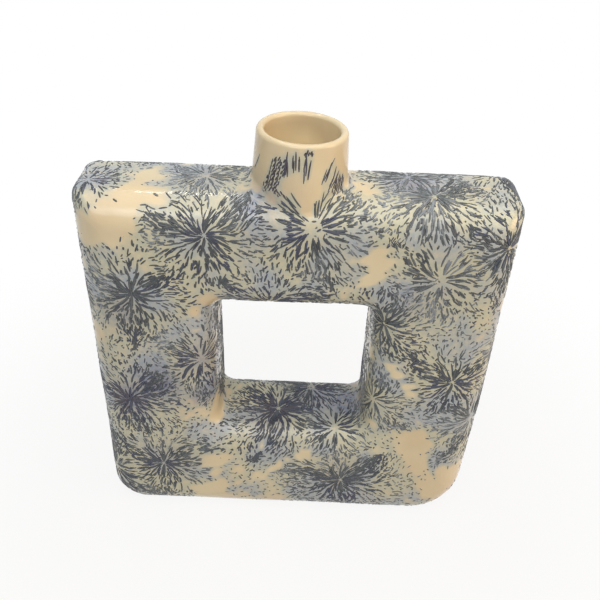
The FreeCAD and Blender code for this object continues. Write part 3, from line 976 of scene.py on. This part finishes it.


# Soft blue washes under the glaze, and painted shade on the window's sill where the top bar shades it:
# shares of half the width, half the depth and the height, radius, strength.
washesAndSillShade = [
    (-0.67, -1, 0.475, 13, 0.9), (-0.82, -1, 0.425, 11, 0.9), (-0.45, -0.95, 0.44, 9, 0.7),
    (-0.18, -0.78, 0.98, 12, 0.5), (0.51, -0.01, 1, 11, 0.75), (-0.42, 0, 1, 16, 0.4),
    (-0.9, -0.4, 0.96, 9, 0.45), (-0.8, -1, 0.7, 12, 0.5), (-0.45, -0.9, 0.56, 11, 0.5),
    (0.55, -1, 0.75, 12, 0.35), (-0.1, -0.6, 0.3, 12, 0.5), (0.3, -1, 0.15, 14, 0.35),
    (-0.65, -1, 0.2, 13, 0.4), (0.4, 1, 0.3, 15, 0.7), (-0.55, 1, 0.75, 14, 0.6), (0.75, 1, 0.62, 12, 0.5),
    # The last two on the next line are not washes but painted shade on the window's sill, under the top bar.
    (1, 0.1, 0.45, 14, 0.6), (-1, 0.2, 0.6, 13, 0.6), (0.08, 0.2, 0.313, 15, 0.6), (0.3, 0, 0.313, 13, 0.6),
]


def markSkin(skins):
    # Stores the halo, and the blue washes together with the painted shade on the window's sill, on each skin.
    store = bpy.data.collections.new("strokes")
    for piece in strokePieces:
        store.objects.link(piece)
    values = treeValues(halo, "full gone", strokes=store)
    tree = haloTree(values)
    centres = placesOn(washesAndSillShade)
    for skin in skins:
        skin.data = grow(skin, tree, values, skin.name)
        places = readAll(skin.data.vertices, "co", kind=np.float32)
        wash = np.zeros(len(places))
        for centre, (_, _, _, radius, strength) in zip(centres, washesAndSillShade):
            distance = np.linalg.norm(places - centre, axis=1) / (radius * mm)
            wash = np.maximum(wash, strength * np.exp(-distance ** 2))
        storeOn(skin.data, "wash", wash)
    bpy.data.collections.remove(store)


# Materials

glazeColours = {
    "cream": "#e2d3b0",
    "warmCream": "#d9c5a1",
    "slip": "#bfc0ac",  # pale grey-green where slip gathers round the strokes
    "blueSlip": "#a3adbb",  # the same where cobalt has bled into it
    # Blue of the washes, also used as painted shade on the window's sill.
    "wash": "#5f6890",
    "speck": "#5d5342",
    "tan": "#f8e3b8",  # thinner glaze over the clay inside the neck, made lighter and warmer as painted light in the shaded neck
    "clay": "#c9ad86",
    "darkClay": "#b89a74",
}
paintColours = [(0.0, "#8b9199"), (0.22, "#62686c"), (0.5, "#464b4d"), (0.78, "#424861"), (1.0, "#4e474c")]


def startNodes(owner):
    # Empties the node tree of a material or a world; gives what adds a node to it.
    owner.use_nodes = True
    owner.node_tree.nodes.clear()
    return partial(addNode, owner.node_tree)


def newMaterial(name):
    material = bpy.data.materials.new(name)
    return material, startNodes(material)


def coat(piece, *materials):
    piece.data.materials.clear()
    for material in materials:
        piece.data.materials.append(material)


def finishMaterial(add, colour, grain, roughness, strength, relief, height):
    # What glaze, paint and bare clay end in: roughness follows the grain, relief is in millimetres.
    rough = add("MapRange", grain, 0.0, 1.0, *roughness)
    bump = add("Bump", {"Strength": strength, "Distance": relief * mm, "Height": height})
    shader = add("BsdfPrincipled", {"Base Color": colour, "Roughness": rough, "IOR": 1.5, "Normal": bump})
    add("OutputMaterial", {"Surface": shader})


def makeGlaze(name, insideTanAndLight):
    # Glazed stoneware: a clear, slightly uneven gloss glaze over cream slip, so highlights are sharp but not
    # perfectly straight, and the colour drifts slowly between cream and a warmer tone.
    material, add = newMaterial(name)
    place = add("TexCoord").outputs["Object"]
    nearStroke = add("Attribute halo").outputs["Fac"]
    mottle = add("Noise", place, 1 / (1.9 * mm), 3.0)
    slip = add("*", nearStroke, add("MapRange", mottle, 0.3, 0.62, 0.55, 1.0))
    bled = patches(add, place, 24, 1.0, (0.46, 0.62), (0.0, 0.85))
    # Blue washes, and painted shade on the window's sill, from the values stored on the skin.
    washedAndShaded = add("*", add("Attribute wash").outputs["Fac"], add("MapRange", mottle, 0.35, 0.6, 0.75, 1.0))
    specks = add("TexVoronoi", {"Vector": place, "Scale": 1 / (4.2 * mm)})
    size = add("MapRange", add("SeparateColor", specks.outputs["Color"]), 0.72, 1.0, 0.0, 0.085)
    dot = add("*", add("Math LESS_THAN", specks.outputs["Distance"], size), 0.7)
    layers = [(patches(add, place, 38, 2.0, (0.35, 0.65), (0.0, 1.0)), "warmCream"), (slip, "slip"),
              (add("*", slip, bled), "blueSlip"), (washedAndShaded, "wash"), (dot, "speck")]
    # Inside the neck under the lip: thinner glaze over clay, lighter and warmer than it is, as painted light
    # where the inside is shaded.
    if insideTanAndLight:
        radius = add("VectorMath LENGTH", add("VectorMath MULTIPLY", place, (1, 1, 0)))
        inside = add("MapRange", radius, 17.4 * mm, 16.9 * mm)
        under = add("MapRange", add("SeparateXYZ", place).outputs["Z"], 222 * mm, 213 * mm)
        layers.append((add("*", inside, under), "tan"))
    colour = glazeColours["cream"]
    for amount, shade in layers:
        colour = add("Mix RGBA", amount, colour, glazeColours[shade])
    ripple = add("Noise", place, 1 / (7 * mm), 1.5)
    height = add("*+", add("*", mottle, nearStroke), 1.1, ripple)
    finishMaterial(add, colour, mottle, (0.12, 0.26), 0.7, 0.2, height)
    return material


def finishPaint(material):
    # Cobalt and slate underglaze, trailed on and fired under clear glaze: dark, glossy, uneven in strength.
    add = startNodes(material)
    place = add("TexCoord").outputs["Object"]
    tone = add("Attribute tone").outputs["Fac"]
    broken = add("Noise", place, 1 / (1.7 * mm), 2.0)
    ramp = add("ValToRGB", add("+", add("*+", broken, 0.55, -0.275), tone))
    stops = ramp.color_ramp.elements
    stops[0].color = linearColour(paintColours[0][1])
    stops[1].color = linearColour(paintColours[-1][1])
    for spot, hexColour in paintColours[1:-1]:
        stops.new(spot).color = linearColour(hexColour)
    finishMaterial(add, ramp, broken, (0.2, 0.4), 0.5, 0.08, broken)


def makeFiredSlip():
    # Unglazed fired slip or clay: matt, dry and faintly gritty.
    material, add = newMaterial("bareFiredClay")
    place = add("TexCoord").outputs["Object"]
    grit = add("Noise", place, 1 / (1.2 * mm), 4.0)
    colour = add("Mix RGBA", grit, glazeColours["darkClay"], glazeColours["clay"])
    finishMaterial(add, colour, grit, (0.7, 0.9), 0.6, 0.15, grit)
    return material


def dressSkins():
    pillowGlaze = makeGlaze("creamGlossGlaze", insideTanAndLight=False)
    neckGlaze = makeGlaze("creamGlossGlazeNeck", insideTanAndLight=True)
    clay = makeFiredSlip()
    for skin, glaze in ((frontSkin, pillowGlaze), (rearSkin, pillowGlaze), (neckSkin, neckGlaze)):
        coat(skin, glaze, clay)
        height = readAll(skin.data.polygons, "center")[:, 2]
        facing = readAll(skin.data.polygons, "normal")[:, 2]
        under = (height < (pillow["footRecess"] + 0.1) * mm) & (facing < -0.5)
        skin.data.polygons.foreach_set("material_index", under.astype(int))
    coat(seamBeadSkin, clay)
    coat(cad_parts["window_seam_slip"], clay)


# Floor, world and lamps

stage = {
    "reach": 3,  # metres
    "floor": "#d2cfca",
    "shade": 0.11,  # how much of the floor's own shade the camera sees by the vase
    "shadeSpan": (0.11, 0.33),  # metres from its middle over which that fades out
    "around": "#f2f1ee",
    "aroundStrength": 0.21,
}
lamps = {
    # name: (place, looks at, size, watts, colour), metres
    "ceiling": ((0.06, -0.25, 1.00), (0, 0, 0.12), 1.2, 8.9, "#fdfbf3"),
    "frontFill": ((-0.15, -0.58, 0.62), (0, 0, 0.16), 0.3, 0.95, "#f4f7ff"),
    "warmRight": ((1.10, -0.30, 0.50), (0, 0, 0.14), 0.6, 5.2, "#ffdab2"),
    "spark": ((-0.22, 0.36, 1.15), (0, 0, 0.19), 0.05, 0.7, "#ffffff"),
}


def makeStage():
    # A white floor to the camera, a little shaded near the vase, and a grey one to all other light.
    count = 64
    rim = [(stage["reach"] * math.cos(turn), stage["reach"] * math.sin(turn), 0) for turn in turnsRound(count)]
    floor = addObject("floor", newMesh("floor", rim, [tuple(range(count))], smooth=False))
    material, add = newMaterial("plainFloor")
    paint = add("BsdfDiffuse", {"Color": stage["floor"]})
    away = add("VectorMath LENGTH", add("TexCoord").outputs["Object"])
    shade = add("MapRange SMOOTHSTEP", away, *stage["shadeSpan"], stage["shade"], 0.0)
    faint = add("MixShader", shade, add("Emission", {"Color": "#ffffff", "Strength": 1.0}), paint)
    add("OutputMaterial", {"Surface": add("MixShader", seenDirectly(add), paint, faint)})
    coat(floor, material)


def seenDirectly(add):
    # One where the camera, a reflection or a see-through material looks at it.
    path = add("LightPath")
    seen = add("Math MAXIMUM", path.outputs["Is Camera Ray"], path.outputs["Is Glossy Ray"])
    return add("Math MAXIMUM", seen, path.outputs["Is Transmission Ray"])


def makeLight():
    world = bpy.data.worlds.new("studio")
    bpy.context.scene.world = world
    add = startNodes(world)
    around = add("Background", {"Color": stage["around"], "Strength": stage["aroundStrength"]})
    white = add("Background", {"Color": "#ffffff", "Strength": 1.0})
    add("OutputWorld", {"Surface": add("MixShader", seenDirectly(add), around, white)})
    for name, (place, target, size, watts, hexColour) in lamps.items():
        data = bpy.data.lights.new(name, "AREA")
        data.size, data.energy = size, watts
        data.color = linearColour(hexColour)[:3]
        lamp = addObject(name, data)
        lamp.location = place
        lamp.rotation_euler = (Vector(place) - Vector(target)).to_track_quat("Z", "Y").to_euler()
    bpy.context.scene.view_settings.view_transform = "Standard"


markSkin([frontSkin, rearSkin, neckSkin])
finishPaint(paintMaterial)
dressSkins()
makeStage()
makeLight()
for spare in (canvas, burstPoints, plainHolder):
    bpy.data.objects.remove(spare)

for skin, nodes, slot in (
        (frontSkin, ["front_shell"], "body_glaze"), (rearSkin, ["rear_shell"], "body_glaze"),
        (neckSkin, ["neck", "neck_seam_slip"], "neck_glaze"),
        (seamBeadSkin, ["outer_seam_slip"], "luting_slip")):
    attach(skin, "root")
    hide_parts(*nodes)
for piece in strokePieces:
    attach(piece, "root")
